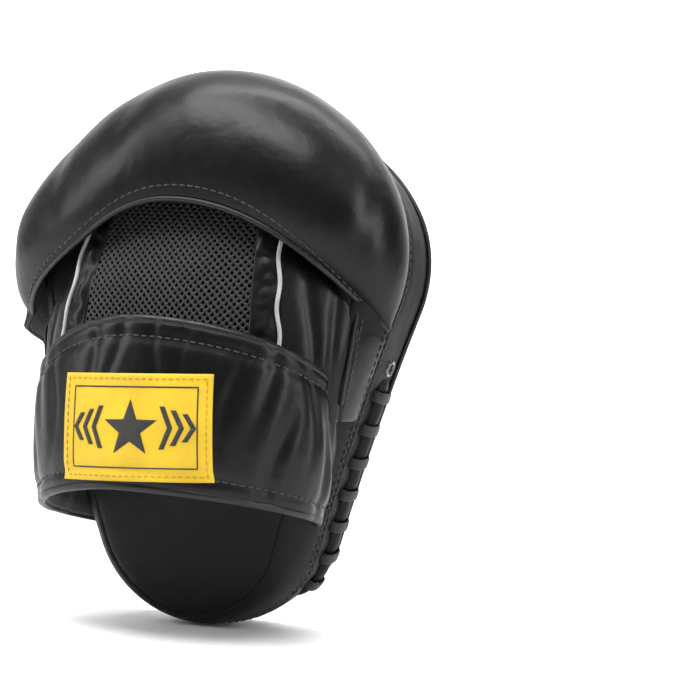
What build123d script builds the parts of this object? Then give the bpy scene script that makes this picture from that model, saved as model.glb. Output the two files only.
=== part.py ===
from build123d import *
import math
import os

# Boxing focus mitt, millimetres.
# X runs across the mitt, +Y is the striking side, -Y is the hand side, +Z points to the fingertips.
# The pad is bent about an axis that runs along X, so the striking face is hollow from top to bottom.

# ---- pad outline, on the flat plane that touches the middle of the pad's thickness
pad_tip = -2.0            # lowest point of the outline
pad_top = 267.0           # highest point of the outline
tip_radius = 60.0
shoulder_radius = 66.0
shoulder_spread = 32.0    # centre of each shoulder arc, from the middle
crown_flare = 37.0        # how much flatter the crown is than the shoulders
crown_radius = shoulder_radius + crown_flare

# ---- pad thickness and bend
bend_radius = 460.0
bend_height = 125.0       # where the bent pad stands furthest to the rear
pad_thickness = 52.0
half_thickness = pad_thickness / 2
shoulder_reach = shoulder_spread + shoulder_radius   # half the width of the pad
band_width = 28.0         # side band, from the striking face to the rear seam
gusset_slope = 0.42       # how fast the rear gusset draws in behind the rear seam
face_leather = 1.6
band_leather = 1.4
gusset_leather = 1.4
back_leather = 1.4
front_foam = 19.4
core_foam = 10.0
welt_proud = 1.2
welt_width = 2.4
sweep_reach = 70.0        # half the depth of every block that is trimmed to the pad

# ---- hood over the fingers
hood_overhang = 3.0       # how far the hood reaches past the pad's shoulders
hood_radius = shoulder_reach + hood_overhang
hood_drop = 95.0          # centre of the hood, below the top of the pad
hood_height = pad_top - hood_drop
hood_stand = 14.0         # centre of the hood, in front of the back panel
hood_centre_y = hood_stand - half_thickness
hood_rear_bulge = 46.0
hood_front_bulge = 80.0
hood_leather = 1.2
hood_foam = 6.8
hood_lining_cloth = 1.0
hem_radius = 110.0        # arch of the hood's hem
hem_drop = 59.0           # top of the hem, below the top of the pad
hem_top = pad_top - hem_drop
hem_binding = 3.0

# ---- cuff round the back of the hand
cuff_inset = 18.5         # narrower than the pad on each side
cuff_half_width = shoulder_reach - cuff_inset
cuff_draw_in = 8.0        # narrower by this much at the bottom
cuff_reach = 59.0         # how far the cuff stands behind the back panel
cuff_apex_y = -half_thickness - cuff_reach
cuff_stand = 2.0          # widest part of the cuff, behind the back panel
cuff_centre_y = -half_thickness - cuff_stand
cuff_front_y = 8.0        # where the cuff ends on the pad's flank
cuff_leather = 1.2
cuff_foam = 7.8
cuff_lining_cloth = 1.0
cuff_drop = 116.0         # top edge in the middle, below the top of the pad
cuff_top = pad_top - cuff_drop
cuff_top_radius = 123.0
cuff_bottom = 73.5        # height of the bottom edge in the middle
cuff_bottom_radius = 236.0
cuff_binding = 3.0
cuff_taper_reach = 27.5   # the draw-in is measured this far below the bottom edge

# ---- label on the cuff
label_width = 75.0
label_height = 50.0
label_rise = 29.5         # middle of the label, above the bottom edge of the cuff
label_centre = cuff_bottom + label_rise
label_thickness = 1.0

# ---- sleeve between the hood and the cuff
sleeve_stand = 18.0       # centre of the sleeve, in front of the back panel
sleeve_centre_y = sleeve_stand - half_thickness
sleeve_insets = (24.0, 8.0, 21.0)     # at the bottom, the shoulder and the top, from the side of the pad
sleeve_tuck = 47.0        # the sleeve starts this far below the top of the cuff
sleeve_shoulder = 1.0     # it is widest just below the top of the cuff
hem_tuck = 6.0            # and runs this far up under the hem
sleeve_rings = [          # height, half width, depth
    (cuff_top - sleeve_tuck, shoulder_reach - sleeve_insets[0], 60.0),
    (cuff_top - sleeve_shoulder, shoulder_reach - sleeve_insets[1], 52.0),
    (hem_top + hem_tuck, shoulder_reach - sleeve_insets[2], 31.0),
]
sleeve_leather = 1.4
mesh_thickness = 2.0
mesh_half_width = 46.0
strip_width = 8.0
piping_diameter = 2.4
panel_cloth_gap = 1.5     # side panels stop this far above the cuff

# ---- lacing on both flanks
lace_width = 5.5
lace_thickness = 1.2
lace_pitch = 17.5
lace_count = 7
lace_top = 120.0
lace_from_face = 12.0     # centre line of the lacing, behind the striking face
lace_depth = lace_from_face - half_thickness
lace_span = 12.5
lace_sink = 2.6           # inner runs, below the inside of the side band
flap_width = 10.0
flap_proud = 3.0
flap_bottom = 14.0
flap_top = 127.0
slot_clearance = 0.4
channel_depth = 6.2
eyelet_radius = 4.5
eyelet_hole = 2.4
eyelet_thickness = 1.0
eyelet_height = 134.0

# ---- inside the hand space
ball_radius = 28.0
ball_rise = 15.0
ball_drop = 53.0          # centre of the ball, below the top of the cuff
ball_height = cuff_top - ball_drop
ball_leather = 1.4
strap_width = 24.0
strap_span = 92.0
strap_rise = 17.0
strap_thickness = 2.0
strap_above_cuff = 17.0
strap_height = cuff_top + strap_above_cuff
thumb_width = 20.0
thumb_span = 34.0
thumb_rise = 22.0
thumb_thickness = 1.8
thumb_x = 48.0
thumb_drop = 33.0         # below the top of the cuff
thumb_height = cuff_top - thumb_drop

body_clearance = 0.5      # between pieces of different moving bodies
wide = 320.0              # longer than the mitt in every direction

seam_depth = band_width - half_thickness
crown_drop = math.sqrt((crown_radius - shoulder_radius) ** 2 - shoulder_spread ** 2)
shoulder_below_top = crown_radius - crown_drop
tip_rise = (bend_height - pad_tip) ** 2 / (2 * bend_radius)


def upright(y):
    """Plane that faces the hand side at depth y, with its own y pointing up."""
    return Plane(origin=(0, y, 0), x_dir=(1, 0, 0), z_dir=(0, -1, 0))


def mirrored(point):
    """The same point on the other side of the mitt."""
    return -point[0], point[1]


def outline_centres(y, pull):
    """Heights of the tip and shoulder arc centres where the outline crosses the plane at y."""
    scale = (bend_radius - y) / bend_radius
    tip = bend_height - (bend_height - pad_tip) * scale + tip_radius + pull
    shoulder = bend_height + (pad_top - bend_height) * scale - shoulder_below_top - pull
    return tip, shoulder


def flank_normal(tip, shoulder):
    """Outward direction of the straight flank between the tip arc and the shoulder arc."""
    run = math.hypot(shoulder_spread, shoulder - tip)
    lean = math.atan2(shoulder - tip, shoulder_spread)
    angle = lean - math.acos((tip_radius - shoulder_radius) / run)
    return math.cos(angle), math.sin(angle)


def outline_face(y, grow=0.0, pull=0.0):
    """Egg-shaped outline of the pad on the plane at y, grown outwards all round."""
    tip, shoulder = outline_centres(y, pull)
    nx, nz = flank_normal(tip, shoulder)
    low = tip_radius + grow
    side = shoulder_radius + grow
    crown = crown_radius + grow
    crown_centre = shoulder - crown_drop
    reach = crown_radius - shoulder_radius
    joint = (shoulder_spread / reach, crown_drop / reach)
    middle = math.atan2(nz + joint[1], nx + joint[0])
    flank_low = (low * nx, tip + low * nz)
    flank_high = (shoulder_spread + side * nx, shoulder + side * nz)
    side_mid = (shoulder_spread + side * math.cos(middle), shoulder + side * math.sin(middle))
    crown_end = (crown * joint[0], crown_centre + crown * joint[1])
    edges = [
        ThreePointArc(mirrored(flank_low), (0, tip - low), flank_low),
        Line(flank_low, flank_high),
        ThreePointArc(flank_high, side_mid, crown_end),
        ThreePointArc(crown_end, (0, crown_centre + crown), mirrored(crown_end)),
        ThreePointArc(mirrored(crown_end), mirrored(side_mid), mirrored(flank_high)),
        Line(mirrored(flank_high), mirrored(flank_low)),
    ]
    return upright(y) * make_face(edges)


def solids_of(piece):
    """Every solid in a shape or in a list of shapes."""
    if isinstance(piece, list):
        return [solid for part in piece for solid in part.solids()]
    return list(piece.solids())


def largest(piece):
    """The main solid of a trimmed ring, without the scraps that the trimming leaves."""
    return max(solids_of(piece), key=lambda solid: solid.volume)


def pad_block(grow=0.0):
    """Solid with the pad's outline, whose walls stand square to the bent pad."""
    return loft([outline_face(-sweep_reach, grow), outline_face(sweep_reach, grow)], ruled=True)


def rear_block(grow=0.0):
    """Solid with the rear gusset's wall, which draws in behind the rear seam."""
    pull = gusset_slope * tip_rise
    faces = []
    for y in (-sweep_reach, sweep_reach):
        faces.append(outline_face(y, grow + gusset_slope * (y + seam_depth), pull))
    return loft(faces, ruled=True)


def bend_cylinder(depth):
    """Cylinder about the bend axis whose wall lies at this depth in the pad."""
    axis = Plane(origin=(0, bend_radius, bend_height), x_dir=(0, 1, 0), z_dir=(1, 0, 0))
    return axis * Cylinder(bend_radius + depth, wide)


def depth_slab(front, rear):
    return bend_cylinder(rear) - bend_cylinder(front)


def height_slab(low, high):
    return Pos(0, 0, (low + high) / 2) * Box(wide, wide, high - low)


def side_slab(inner, outer, side):
    """Everything between two distances from the middle, on one side."""
    return Pos(side * (inner + outer) / 2, 0, wide / 2) * Box(outer - inner, wide, 2 * wide)


# ---------------------------------------------------------------- pad

def half_width_at(y, z):
    """Point and outward direction of the pad's flank at height z on the plane at y."""
    tip, shoulder = outline_centres(y, 0.0)
    nx, nz = flank_normal(tip, shoulder)
    if z < tip + tip_radius * nz:
        nz = (z - tip) / tip_radius
        nx = math.sqrt(1 - nz ** 2)
        return tip_radius * nx, nx, nz
    if z < shoulder + shoulder_radius * nz:
        along = (z - tip - tip_radius * nz) / nx
        return tip_radius * nx - along * nz, nx, nz
    nz = (z - shoulder) / shoulder_radius
    nx = math.sqrt(1 - nz ** 2)
    return shoulder_spread + shoulder_radius * nx, nx, nz


def wall_frame(z, side):
    """Point on the lacing's centre line at height z, with the outward and rearward directions there."""
    tilt = math.asin((z - bend_height) / (bend_radius + lace_depth))
    y = bend_radius - (bend_radius + lace_depth) * math.cos(tilt)
    x, nx, nz = half_width_at(y, z)
    point = Vector(side * x, y, z)
    rearward = Vector(0, -math.cos(tilt), math.sin(tilt))
    outward = Vector(side * nx, 0, nz)
    outward = (outward - rearward * outward.dot(rearward)).normalized()
    return point, outward, rearward


def flat_run(start, end, broad, width, thickness):
    """Straight run of flat lace between two points, a little longer so that its corners meet."""
    along = (end - start).normalized()
    plane = Plane(origin=start - along * thickness / 2, x_dir=broad, z_dir=along)
    return extrude(plane * Rectangle(width, thickness), (end - start).length + thickness)


def lace_stations():
    heights = []
    z = lace_top
    for _ in range(lace_count):
        heights.append(z)
        z -= lace_pitch * half_width_at(0.0, z)[1]
    return heights


def lace_wrap(z, side, extra=0.0):
    """One turn of lace over the flap, with its two legs through the side band."""
    point, outward, rearward = wall_frame(z, side)
    across = outward.cross(rearward)
    high = outward * (flap_proud + lace_thickness)
    low = outward * -(band_leather + lace_sink)
    front = point - rearward * (lace_span / 2)
    rear = point + rearward * (lace_span / 2)
    width = lace_width + 2 * extra
    thickness = lace_thickness + 2 * extra
    over = flat_run(front + high, rear + high, across, width, thickness)
    front_leg = flat_run(front + low, front + high, across, width, thickness)
    rear_leg = flat_run(rear + low, rear + high, across, width, thickness)
    return over, front_leg, rear_leg, front + low, rear + low, across


def lace(side):
    """The whole lace of one flank: it winds round the flap and runs inside from turn to turn."""
    turns = [lace_wrap(z, side) for z in lace_stations()]
    runs = []
    for over, front_leg, rear_leg, _, _, _ in turns:
        runs += [over, front_leg, rear_leg]
    for upper, lower in zip(turns, turns[1:]):
        runs.append(flat_run(upper[4], lower[3], upper[5], lace_width, lace_thickness))
    whole = runs[0]
    for run in runs[1:]:
        whole = whole + run
    return whole


def lace_slots(side):
    slots = []
    for z in lace_stations():
        wrap = lace_wrap(z, side, slot_clearance)
        slots += [wrap[1], wrap[2]]
    return slots


def lace_flap(side):
    strip = (pad_block(flap_proud) - pad_block(0.0)) & depth_slab(
        lace_depth - flap_width / 2, lace_depth + flap_width / 2)
    return strip & height_slab(flap_bottom, flap_top) & side_slab(0, wide, side)


def lace_eyelet(side):
    point, outward, rearward = wall_frame(eyelet_height, side)
    plane = Plane(origin=point, x_dir=rearward, z_dir=outward)
    ring = Cylinder(eyelet_radius, 2 * eyelet_thickness) - Cylinder(eyelet_hole, 4 * eyelet_thickness)
    return (plane * ring) - pad_block(0.0)


def build_pad():
    front = -half_thickness
    foam_front = front + face_leather
    foam_middle = foam_front + front_foam
    foam_rear = foam_middle + core_foam
    outer = pad_block(0.0)
    inner = pad_block(-band_leather)
    rear_outer = rear_block(0.0)
    rear_inner = rear_block(-gusset_leather)
    channel = (inner - pad_block(-band_leather - channel_depth)) & height_slab(flap_bottom, flap_top)
    band = (outer - inner) & depth_slab(foam_front, seam_depth)
    for side in (-1, 1):
        for slot in lace_slots(side):
            band = band - slot
    parts = {
        "strike_face": outer & depth_slab(front, foam_front),
        "face_welt": (pad_block(welt_proud) - outer) & depth_slab(front, front + welt_width),
        "side_band": band,
        "impact_foam_front": (inner & depth_slab(foam_front, foam_middle)) - channel,
        "rear_gusset": (rear_outer - rear_inner) & depth_slab(seam_depth, half_thickness - back_leather),
        "back_panel": rear_outer & depth_slab(half_thickness - back_leather, half_thickness),
    }
    middle = inner & depth_slab(foam_middle, seam_depth)
    behind = rear_inner & depth_slab(seam_depth, half_thickness - back_leather)
    parts["impact_foam_core"] = middle + (behind & depth_slab(seam_depth, foam_rear))
    parts["impact_foam_rear"] = behind & depth_slab(max(foam_rear, seam_depth), half_thickness)
    return parts


# ---------------------------------------------------------------- hood

def hood_dome(inset):
    """Puffed dome of the hood, drawn in by this much on every side."""
    radius = hood_radius - inset
    rear = hood_rear_bulge - inset
    plane = Plane(origin=(0, hood_centre_y, hood_height), x_dir=(0, 0, 1), z_dir=(1, 0, 0))
    edges = [
        EllipticalCenterArc((0, 0), radius, hood_front_bulge - inset, start_angle=270, arc_size=90),
        EllipticalCenterArc((0, 0), radius, rear, start_angle=0, arc_size=90),
        Line((0, rear), (0, -hood_front_bulge + inset)),
    ]
    profile = plane * make_face(edges)
    axis = Axis((0, hood_centre_y, hood_height), (0, 1, 0))
    return revolve(profile, axis, 360)


def arch_cylinder(radius, top):
    """Cylinder along Y that rises to this height."""
    return upright(0) * Pos(0, top - radius, 0) * Cylinder(radius, wide)


def build_hood():
    binding_edge = arch_cylinder(hem_radius + hem_binding, hem_top + hem_binding)
    hem = arch_cylinder(hem_radius, hem_top)
    pad_rear = rear_block(body_clearance) & bend_cylinder(half_thickness + body_clearance)
    pad_side = bend_cylinder(seam_depth + body_clearance) + pad_rear
    below = height_slab(-wide, hem_top - hem_radius)
    layers = [0.0, hood_leather, hood_leather + hood_foam, hood_leather + hood_foam + hood_lining_cloth]
    domes = [hood_dome(inset) for inset in layers]
    names = ["hood_shell", "hood_padding", "hood_lining"]
    parts = {}
    for name, outside, inside in zip(names, domes, domes[1:]):
        parts[name] = largest(outside - inside - pad_side - below - binding_edge)
    parts["hood_binding"] = largest((domes[0] - domes[3] - pad_side - below - hem) & binding_edge)
    return parts


# ---------------------------------------------------------------- cuff

def cuff_block(inset):
    """Solid of the cuff's oval at this inset, narrower at the bottom."""
    faces = []
    low = cuff_bottom - cuff_taper_reach
    for z, half_width in ((low, cuff_half_width - cuff_draw_in), (cuff_top, cuff_half_width)):
        depth = cuff_centre_y - cuff_apex_y
        faces.append(Plane(origin=(0, cuff_centre_y, z)) * Ellipse(half_width - inset, depth - inset))
    return loft(faces, ruled=True)


def build_cuff():
    pad_side = pad_block(body_clearance) & bend_cylinder(half_thickness)
    front = Pos(0, cuff_front_y + wide / 2, cuff_bottom) * Box(wide, wide, wide)
    top_outer = arch_cylinder(cuff_top_radius, cuff_top)
    top_inner = arch_cylinder(cuff_top_radius - cuff_binding, cuff_top - cuff_binding)
    low_outer = arch_cylinder(cuff_bottom_radius, cuff_bottom)
    low_inner = arch_cylinder(cuff_bottom_radius + cuff_binding, cuff_bottom + cuff_binding)
    layers = [0.0, cuff_leather, cuff_leather + cuff_foam, cuff_leather + cuff_foam + cuff_lining_cloth]
    blocks = [cuff_block(inset) for inset in layers]
    parts = {}
    for name, outside, inside in zip(["cuff_shell", "cuff_padding", "cuff_lining"], blocks, blocks[1:]):
        parts[name] = largest(((outside - inside) & top_inner) - low_inner - pad_side - front)
    ring = blocks[0] - blocks[3] - pad_side - front
    parts["cuff_binding_top"] = largest((ring & top_outer) - top_inner - low_inner)
    parts["cuff_binding_bottom"] = largest((ring & low_inner) - low_outer)
    window = Pos(0, cuff_apex_y, label_centre) * Box(label_width, wide / 3, label_height)
    parts["label_patch"] = largest((cuff_block(-label_thickness) - cuff_block(0.0)) & window)
    return parts


# ---------------------------------------------------------------- sleeve

def sleeve_block(inset):
    faces = []
    for z, half_width, depth in sleeve_rings:
        plane = Plane(origin=(0, sleeve_centre_y, z))
        faces.append(plane * Ellipse(half_width - inset, depth - inset))
    return loft(faces, ruled=True)


def build_sleeve():
    outer = sleeve_block(0.0)
    pad_side = bend_cylinder(seam_depth) + (rear_block(0.0) & bend_cylinder(half_thickness))
    leather = outer - sleeve_block(sleeve_leather) - pad_side
    mesh = outer - sleeve_block(mesh_thickness) - pad_side
    piping = sleeve_block(-piping_diameter / 2) - sleeve_block(piping_diameter / 2) - pad_side
    piping_start = mesh_half_width + strip_width
    panel_start = piping_start + piping_diameter
    cuff_zone = arch_cylinder(cuff_top_radius + panel_cloth_gap, cuff_top + panel_cloth_gap)
    parts = {"sleeve_mesh": largest(mesh & side_slab(-mesh_half_width, mesh_half_width, 1))}
    for name, side in (("left", -1), ("right", 1)):
        parts["sleeve_strip_" + name] = largest(leather & side_slab(mesh_half_width, piping_start, side))
        cord = piping & side_slab(piping_start, panel_start, side)
        parts["sleeve_piping_" + name] = largest(cord - cuff_zone)
        parts["side_panel_" + name] = largest((leather & side_slab(panel_start, wide, side)) - cuff_zone)
    return parts


# ---------------------------------------------------------------- palm ball, strap and thumb loop

def ball_cap(inset):
    """Low dome that stands on the back panel."""
    rise = ball_rise - inset
    radius = ball_radius - inset
    sphere = (radius ** 2 + rise ** 2) / (2 * rise)
    centre = Pos(0, -half_thickness - rise + sphere, ball_height)
    return (centre * Sphere(sphere)) - bend_cylinder(half_thickness)


def loop_band(x, z, span, rise, width, thickness):
    """Flat strap that arches off the back panel, open at the top and bottom."""
    base = -half_thickness
    plane = Plane(origin=(x, base, z - width / 2))
    outer = Ellipse(span / 2, rise)
    inner = Ellipse(span / 2 - thickness, rise - thickness)
    return extrude(plane * (outer - inner), width) - bend_cylinder(half_thickness)


def build_inside():
    core = ball_cap(ball_leather)
    strap = loop_band(0, strap_height, strap_span, strap_rise, strap_width, strap_thickness)
    thumb = loop_band(thumb_x, thumb_height, thumb_span, thumb_rise, thumb_width, thumb_thickness)
    return {
        "palm_ball_cover": ball_cap(0.0) - core,
        "palm_ball_core": core,
        "finger_strap": strap,
        "thumb_loop": thumb,
    }


# ---------------------------------------------------------------- whole mitt

mitt = {}
mitt.update(build_pad())
for side_name, side_sign in (("left", -1), ("right", 1)):
    mitt["lace_flap_" + side_name] = lace_flap(side_sign)
    mitt["lace_" + side_name] = lace(side_sign)
mitt["lace_eyelets"] = [lace_eyelet(-1), lace_eyelet(1)]
mitt.update(build_hood())
mitt.update(build_cuff())
mitt.update(build_sleeve())
mitt.update(build_inside())

# The origin is put under the middle of the whole mitt, on the surface that it stands on.
whole_box = Compound([solid for piece in mitt.values() for solid in solids_of(piece)]).bounding_box()
to_origin = Pos(0, -whole_box.center().Y, -whole_box.min.Z)
print("moved by", tuple(to_origin.position))

os.makedirs("parts", exist_ok=True)
for name, piece in mitt.items():
    export_step(to_origin * Compound(solids_of(piece)), "parts/" + name + ".step")
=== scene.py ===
import bpy
import bmesh
import math
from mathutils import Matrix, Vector, noise


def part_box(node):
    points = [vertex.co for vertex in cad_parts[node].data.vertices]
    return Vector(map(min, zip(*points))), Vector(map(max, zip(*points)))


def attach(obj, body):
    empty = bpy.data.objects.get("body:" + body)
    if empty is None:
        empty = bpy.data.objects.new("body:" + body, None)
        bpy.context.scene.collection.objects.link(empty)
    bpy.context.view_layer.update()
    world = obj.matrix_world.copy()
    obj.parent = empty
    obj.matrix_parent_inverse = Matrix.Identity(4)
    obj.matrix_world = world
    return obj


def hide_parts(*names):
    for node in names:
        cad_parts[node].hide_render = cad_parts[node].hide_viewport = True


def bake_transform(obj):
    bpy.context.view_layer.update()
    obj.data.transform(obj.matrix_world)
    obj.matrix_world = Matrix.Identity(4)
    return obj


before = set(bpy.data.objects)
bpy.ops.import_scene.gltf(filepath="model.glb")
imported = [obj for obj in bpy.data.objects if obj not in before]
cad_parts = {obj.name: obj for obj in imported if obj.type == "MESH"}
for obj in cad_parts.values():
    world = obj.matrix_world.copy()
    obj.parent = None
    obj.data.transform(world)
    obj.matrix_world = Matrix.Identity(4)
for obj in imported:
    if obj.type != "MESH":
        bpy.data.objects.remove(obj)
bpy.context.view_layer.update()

# The design numbers below are metres from the middle of the bent pad.
# shiftY and shiftZ bring them into the frame.
pad = {"tip": -0.002, "top": 0.267, "tipRadius": 0.060, "shoulderRadius": 0.066, "spread": 0.032,
       "crownRadius": 0.103, "bendRadius": 0.46, "bendHeight": 0.125, "half": 0.026, "seam": 0.002,
       "faceLeather": 0.0016, "middle": 0.150}
labelHeight = 0.103
faceLow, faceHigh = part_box("strike_face")
labelLow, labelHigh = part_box("label_patch")
shiftY = faceLow.y - (pad["half"] - pad["faceLeather"])
shiftZ = (labelLow.z + labelHigh.z) / 2 - labelHeight


def place(x, y, z):
    return Vector((x, y + shiftY, z + shiftZ))


def smooth(t):
    t = min(1.0, max(0.0, t))
    return t * t * (3 - 2 * t)


def mix(a, b, t):
    return a + (b - a) * t


def bell(x, width):
    return math.exp(-(x / width) ** 2)


def ripple(point, size, seed=0.0):
    # Smooth noise between about -1 and 1, with lumps of this size in metres
    return noise.noise(Vector((point.x / size + seed, point.y / size - seed, point.z / size + 2 * seed)))


# mesh helpers

def addPiece(name, verts, faces, material, inside=None, uvs=None):
    # Mesh object with outward normals: away from the inside point, or closed
    mesh = bpy.data.meshes.new(name)
    mesh.from_pydata([tuple(v) for v in verts], [], faces)
    if uvs:
        layer = mesh.uv_layers.new(name="UVMap")
        for loop in mesh.loops:
            layer.data[loop.index].uv = uvs[loop.vertex_index]
    bm = bmesh.new()
    bm.from_mesh(mesh)
    if inside is None:
        bmesh.ops.recalc_face_normals(bm, faces=bm.faces)
    else:
        bm.normal_update()
        away = sum((f.calc_center_median() - inside).dot(f.normal) * f.calc_area() for f in bm.faces)
        if away < 0:
            bmesh.ops.reverse_faces(bm, faces=bm.faces)
    for face in bm.faces:
        face.smooth = True
    bm.to_mesh(mesh)
    bm.free()
    piece = bpy.data.objects.new(name, mesh)
    bpy.context.scene.collection.objects.link(piece)
    mesh.materials.append(material)
    return piece


def gridPiece(name, rows, material, inside=None, closedU=False, closedV=False, capEnds=False,
              fan=False):
    # Quad grid through rows of points. capEnds closes the first and last row, fan closes the
    # last row on its middle
    height, width = len(rows), len(rows[0])
    verts = [p for row in rows for p in row]
    alongU = [0.0]
    middle = rows[height // 2]
    for j in range(1, width):
        alongU.append(alongU[-1] + (middle[j] - middle[j - 1]).length)
    alongV = [0.0]
    for i in range(1, height):
        alongV.append(alongV[-1] + (rows[i][width // 2] - rows[i - 1][width // 2]).length)
    uvs = [(alongU[j], alongV[i]) for i in range(height) for j in range(width)]
    faces = []
    for i in range(height if closedV else height - 1):
        for j in range(width if closedU else width - 1):
            nextI, nextJ = (i + 1) % height, (j + 1) % width
            faces.append((i * width + j, i * width + nextJ, nextI * width + nextJ, nextI * width + j))
    if capEnds:
        faces.append(tuple(range(width)))
        faces.append(tuple((height - 1) * width + j for j in range(width)))
    if fan:
        last = (height - 1) * width
        verts.append(sum(rows[-1], Vector()) / width)
        uvs.append((alongU[width // 2], alongV[-1]))
        for j in range(width if closedU else width - 1):
            faces.append((last + j, last + (j + 1) % width, len(verts) - 1))
    return addPiece(name, verts, faces, material, inside, uvs)


def thicken(piece, depth, offset=-1.0):
    shell = piece.modifiers.new("thickness", "SOLIDIFY")
    shell.thickness = depth
    shell.offset = offset
    shell.use_even_offset = False
    return piece


def tubeRows(points, normals, halfWide, halfHigh, sides=10, scale=None):
    # Rings of an oval section along a path; the normals say which way is up
    rows = []
    for i, point in enumerate(points):
        before, after = points[max(0, i - 1)], points[min(len(points) - 1, i + 1)]
        along = (after - before).normalized()
        up = (normals[i] - along * normals[i].dot(along)).normalized()
        across = along.cross(up)
        size = scale(i / (len(points) - 1)) if scale else 1.0
        ring = []
        for k in range(sides):
            turn = 2 * math.pi * k / sides
            ring.append(point + across * (halfWide * size * math.cos(turn)) + up * (halfHigh * size
                    * math.sin(turn)))
        rows.append(ring)
    return rows


def tube(name, points, normals, halfWide, halfHigh, material, slotName, closed=False, sides=10,
         scale=None):
    if closed:
        rows = tubeRows([points[-1]] + points + [points[0]], [normals[-1]] + normals + [normals[0]],
                        halfWide, halfHigh, sides)[1:-1]
        return gridPiece(name, rows, material, closedU=True, closedV=True)
    rows = tubeRows(points, normals, halfWide, halfHigh, sides, scale)
    return gridPiece(name, rows, material, closedU=True, capEnds=True)


def resample(points, normals, step):
    # Points a step apart along a path, each with its direction and normal
    out = []
    travelled, target = 0.0, step / 2
    for i in range(1, len(points)):
        span = (points[i] - points[i - 1]).length
        while span > 0 and target <= travelled + span:
            t = (target - travelled) / span
            out.append((points[i - 1].lerp(points[i], t), (points[i] - points[i - 1]).normalized(),
                        normals[i - 1].lerp(normals[i], t).normalized()))
            target += step
        travelled += span
    return out


thread = {"length": 0.0030, "gap": 0.0011, "radius": 0.00036, "sunk": 0.00012, "sides": 6}


def stitches(name, runs, material, size=1.0):
    # Rows of separate stitches, each a small bead of thread that dips in at both ends
    verts, faces = [], []
    for points, normals in runs:
        length = thread["length"] * size
        for centre, along, up in resample(points, normals, length + thread["gap"] * size):
            up = (up - along * up.dot(along)).normalized()
            across = along.cross(up)
            start = len(verts)
            for t, swell in ((-0.5, 0.3), (-0.36, 0.85), (0.0, 1.0), (0.36, 0.85), (0.5, 0.3)):
                lift = thread["radius"] * size * (0.55 - 3.2 * t * t) - thread["sunk"] * 0.3
                for k in range(thread["sides"]):
                    turn = 2 * math.pi * k / thread["sides"]
                    radius = thread["radius"] * size * swell
                    verts.append(centre + along * (t * length) + up * (lift + radius * math.sin(turn))
                                 + across * (radius * 1.15 * math.cos(turn)))
            sides = thread["sides"]
            for ring in range(4):
                for k in range(sides):
                    a, b = start + ring * sides + k, start + ring * sides + (k + 1) % sides
                    faces.append((a, b, b + sides, a + sides))
            faces.append(tuple(start + k for k in range(sides)))
            faces.append(tuple(start + 4 * sides + k for k in range(sides)))
    return addPiece(name, verts, faces, material)


# materials

def startMaterial(name):
    material = bpy.data.materials.new(name)
    material.use_nodes = True
    nodes, links = material.node_tree.nodes, material.node_tree.links
    shader = nodes["Principled BSDF"]
    coords = nodes.new("ShaderNodeTexCoord")
    return material, nodes, links, shader, coords


def noiseNode(nodes, links, vector, scale, detail=4.0, roughness=0.55):
    node = nodes.new("ShaderNodeTexNoise")
    node.inputs["Scale"].default_value = scale
    node.inputs["Detail"].default_value = detail
    node.inputs["Roughness"].default_value = roughness
    links.new(vector, node.inputs["Vector"])
    return node.outputs["Fac"]


def rangeNode(nodes, links, value, low, high, fromLow=0.3, fromHigh=0.7):
    node = nodes.new("ShaderNodeMapRange")
    node.inputs["From Min"].default_value = fromLow
    node.inputs["From Max"].default_value = fromHigh
    node.inputs["To Min"].default_value = low
    node.inputs["To Max"].default_value = high
    links.new(value, node.inputs["Value"])
    return node.outputs["Result"]


def colourNode(nodes, links, factor, low, high):
    node = nodes.new("ShaderNodeMix")
    node.data_type = "RGBA"
    node.inputs["A"].default_value = (*low, 1)
    node.inputs["B"].default_value = (*high, 1)
    links.new(factor, node.inputs["Factor"])
    return node.outputs["Result"]


def bumpNode(nodes, links, height, depth, strength=1.0, under=None):
    node = nodes.new("ShaderNodeBump")
    node.inputs["Strength"].default_value = strength
    node.inputs["Distance"].default_value = depth
    links.new(height, node.inputs["Height"])
    if under:
        links.new(under, node.inputs["Normal"])
    return node.outputs["Normal"]


def leather(name, look):
    # Coated leather: fine pebble grain, soft creases, dull patches where it is handled
    material, nodes, links, shader, coords = startMaterial(name)
    place3d = coords.outputs["Object"]
    patches = noiseNode(nodes, links, place3d, look["patchScale"], 5.0)
    fine = noiseNode(nodes, links, place3d, 260.0, 3.0)
    links.new(colourNode(nodes, links, rangeNode(nodes, links, patches, 0.0, 1.0), look["dark"],
                         look["light"]),
              shader.inputs["Base Color"])
    handled = nodes.new("ShaderNodeMath")
    handled.operation = "MULTIPLY_ADD"
    handled.inputs[1].default_value = 0.35
    links.new(fine, handled.inputs[0])
    links.new(rangeNode(nodes, links, patches, 0.0, 0.65), handled.inputs[2])
    links.new(rangeNode(nodes, links, handled.outputs[0], look["glossy"], look["dull"], 0.1, 0.9),
              shader.inputs["Roughness"])
    grain = nodes.new("ShaderNodeTexVoronoi")
    grain.feature = "SMOOTH_F1"
    grain.inputs["Scale"].default_value = look["grainScale"]
    links.new(place3d, grain.inputs["Vector"])
    creases = noiseNode(nodes, links, place3d, look["creaseScale"], 3.0, 0.5)
    under = bumpNode(nodes, links, creases, look["creaseDepth"])
    links.new(bumpNode(nodes, links, grain.outputs["Distance"], look["grainDepth"], under=under),
              shader.inputs["Normal"])
    shader.inputs["Coat Weight"].default_value = look["coat"]
    shader.inputs["Coat Roughness"].default_value = look["coatRoughness"]
    shader.inputs["Specular IOR Level"].default_value = look["specular"]
    return material


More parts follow.
